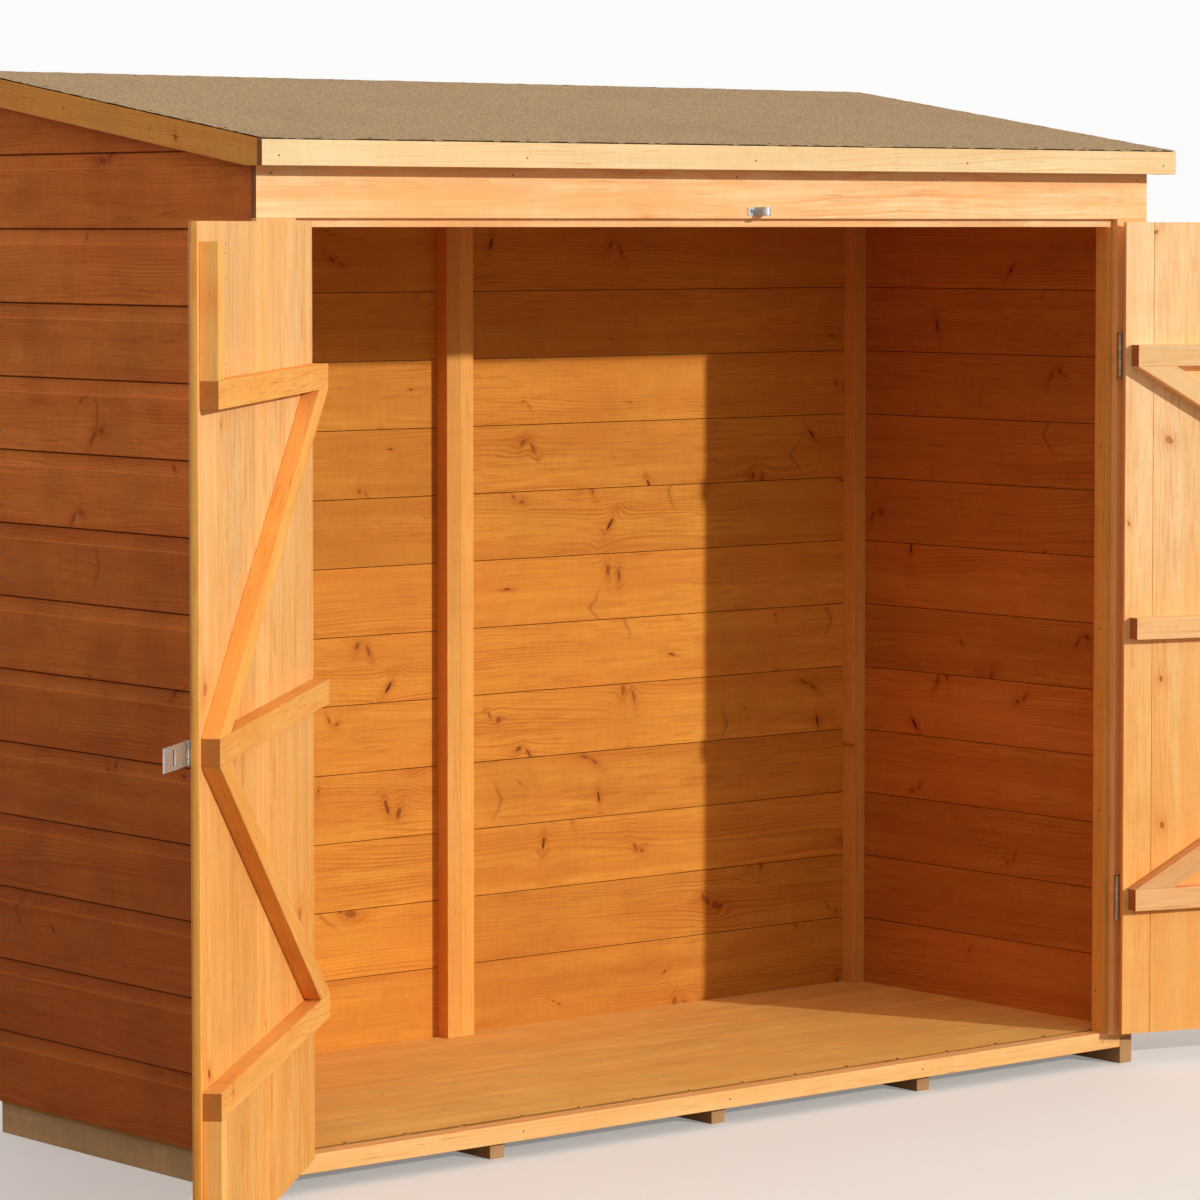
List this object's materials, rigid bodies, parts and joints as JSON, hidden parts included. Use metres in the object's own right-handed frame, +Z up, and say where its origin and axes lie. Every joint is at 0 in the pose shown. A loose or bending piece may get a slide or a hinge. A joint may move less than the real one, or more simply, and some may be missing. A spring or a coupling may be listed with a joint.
{
  "type": "timber bike shelter",
  "caption": "Pent-roof timber bike store with shiplap walls, a boarded floor and ledged and braced double doors.",
  "frame": {"origin": "middle of the floor's underside, on the ground under the middle bearer", "axes": "+Z up, +X along the front to the right seen from outside, +Y from the doors to the back wall"},
  "size_m": [3.1672, 1.3694, 1.6476],
  "materials": {
    "framing": "dip-treated softwood, matt",
    "cladding": "dip-treated softwood, matt",
    "trim": "dip-treated softwood, matt",
    "door_boards": "dip-treated softwood, matt",
    "door_ledges": "dip-treated softwood, matt",
    "floor": "dip-treated softwood, matt",
    "roof_boards": "dip-treated softwood, matt",
    "felt": "mineral-faced roofing felt",
    "zinc": "zinc plated"
  },
  "bodies": {
    "shelter": {"floor_bearers": "framing", "floor_threshold": "floor", "floor_sheet": "floor", "left_wall_cladding": "cladding", "right_wall_cladding": "cladding", "left_wall_posts": "framing", "right_wall_posts": "framing", "left_wall_rails": "framing", "right_wall_rails": "framing", "back_wall_left_cladding": "cladding", "back_wall_right_cladding": "cladding", "back_wall_left_posts": "framing", "back_wall_right_posts": "framing", "back_wall_left_rails": "framing", "back_wall_right_rails": "framing", "front_jambs": "framing", "head_rail": "framing", "front_top_rail": "framing", "header_board": "trim", "front_strip_left": "trim", "front_strip_right": "trim", "roof_deck": "roof_boards", "roof_battens": "framing", "roof_felt": "felt", "fascia": "trim", "bargeboard_left": "trim", "bargeboard_right": "trim", "bolt_keep": "zinc", "left_hinge_frame_leaves": "zinc", "right_hinge_frame_leaves": "zinc"},
    "left_door": {"left_door_boards": "door_boards", "left_door_ledges": "door_ledges", "left_door_braces": "door_ledges", "left_door_edge_battens": "door_ledges", "left_door_hinge_leaves": "zinc", "hasp_leaf": "zinc"},
    "right_door": {"right_door_boards": "door_boards", "right_door_ledges": "door_ledges", "right_door_braces": "door_ledges", "right_door_edge_battens": "door_ledges", "right_door_hinge_leaves": "zinc", "staple": "zinc", "bolt_plate": "zinc", "bolt_rod": "zinc"},
    "hasp_flap": {"hasp_flap": "zinc"}
  },
  "joints": [
    {"name": "left_door_hinge", "type": "hinge", "parent": "shelter", "child": "left_door", "pos_m": [-0.8425, -0.3653, 0.739], "axis": [0, 0, 1], "range_deg": [-38.6, 136.4]},
    {"name": "right_door_hinge", "type": "hinge", "parent": "shelter", "child": "right_door", "pos_m": [0.8425, -0.3653, 0.739], "axis": [0, 0, 1], "range_deg": [-163, 12]},
    {"name": "hasp_flap_hinge", "type": "hinge", "parent": "left_door", "child": "hasp_flap", "pos_m": [-1.44465, -0.93872, 0.739], "axis": [0, 0, -1], "range_deg": [-7, 163]}
  ]
}
